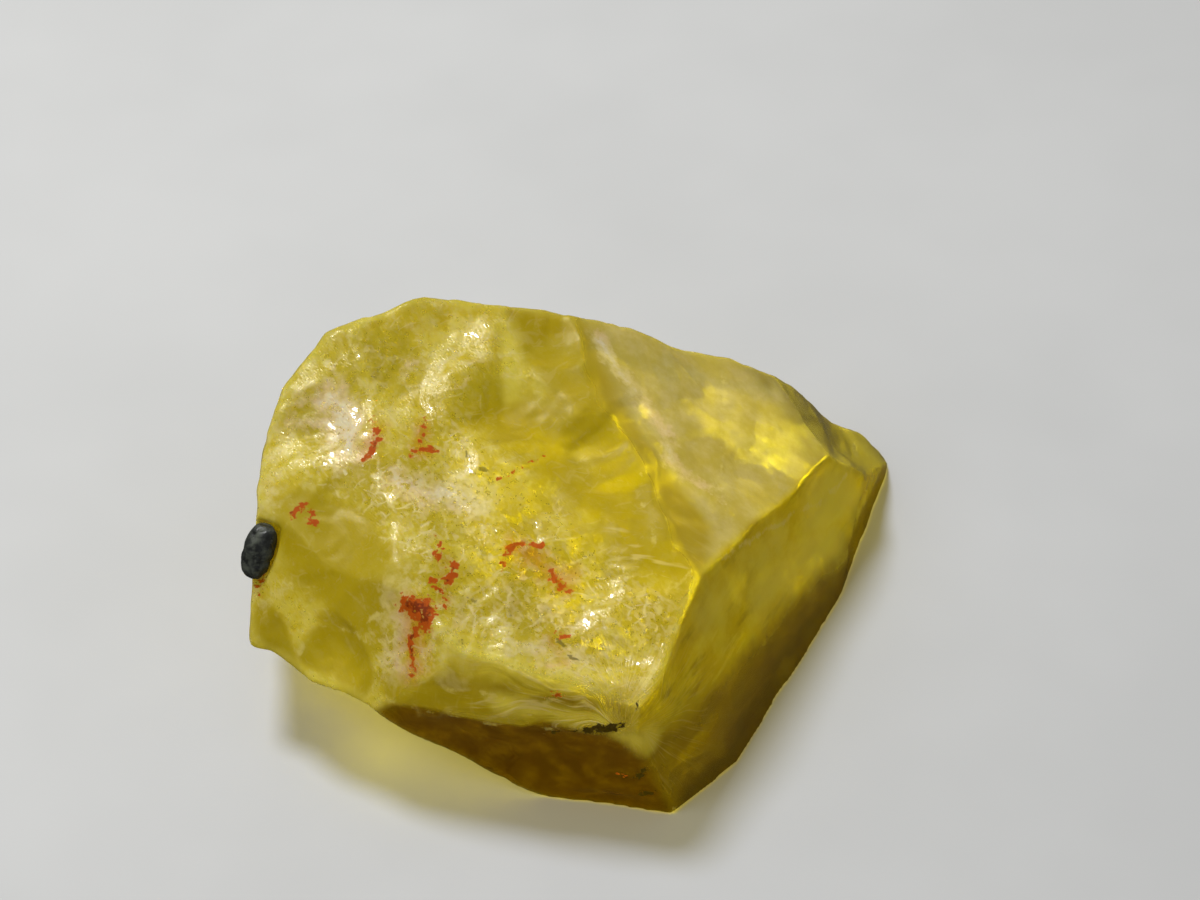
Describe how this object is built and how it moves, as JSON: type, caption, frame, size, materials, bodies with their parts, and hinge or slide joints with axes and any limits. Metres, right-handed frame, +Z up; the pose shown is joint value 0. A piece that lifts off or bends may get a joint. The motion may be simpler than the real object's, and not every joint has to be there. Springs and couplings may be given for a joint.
{
  "type": "rhodizite crystal",
  "caption": "Broken greenish-yellow transparent crystal lying on a flat base, with smooth faces at the right, a rough shell-like break on top and a small black mineral grain in its side.",
  "frame": {"origin": "on the flat resting face, below the middle of the crystal's box", "axes": "+X along the long axis towards the low right end, -Y towards the blunt front tip, +Z up"},
  "size_m": [0.0185, 0.0154, 0.0087],
  "materials": {
    "rhodizite": "vitreous, smooth faces and a rough frosted break",
    "black_mineral": "dull black"
  },
  "bodies": {
    "root": {"crystal": "rhodizite", "black_grain": "black_mineral"}
  },
  "joints": []
}
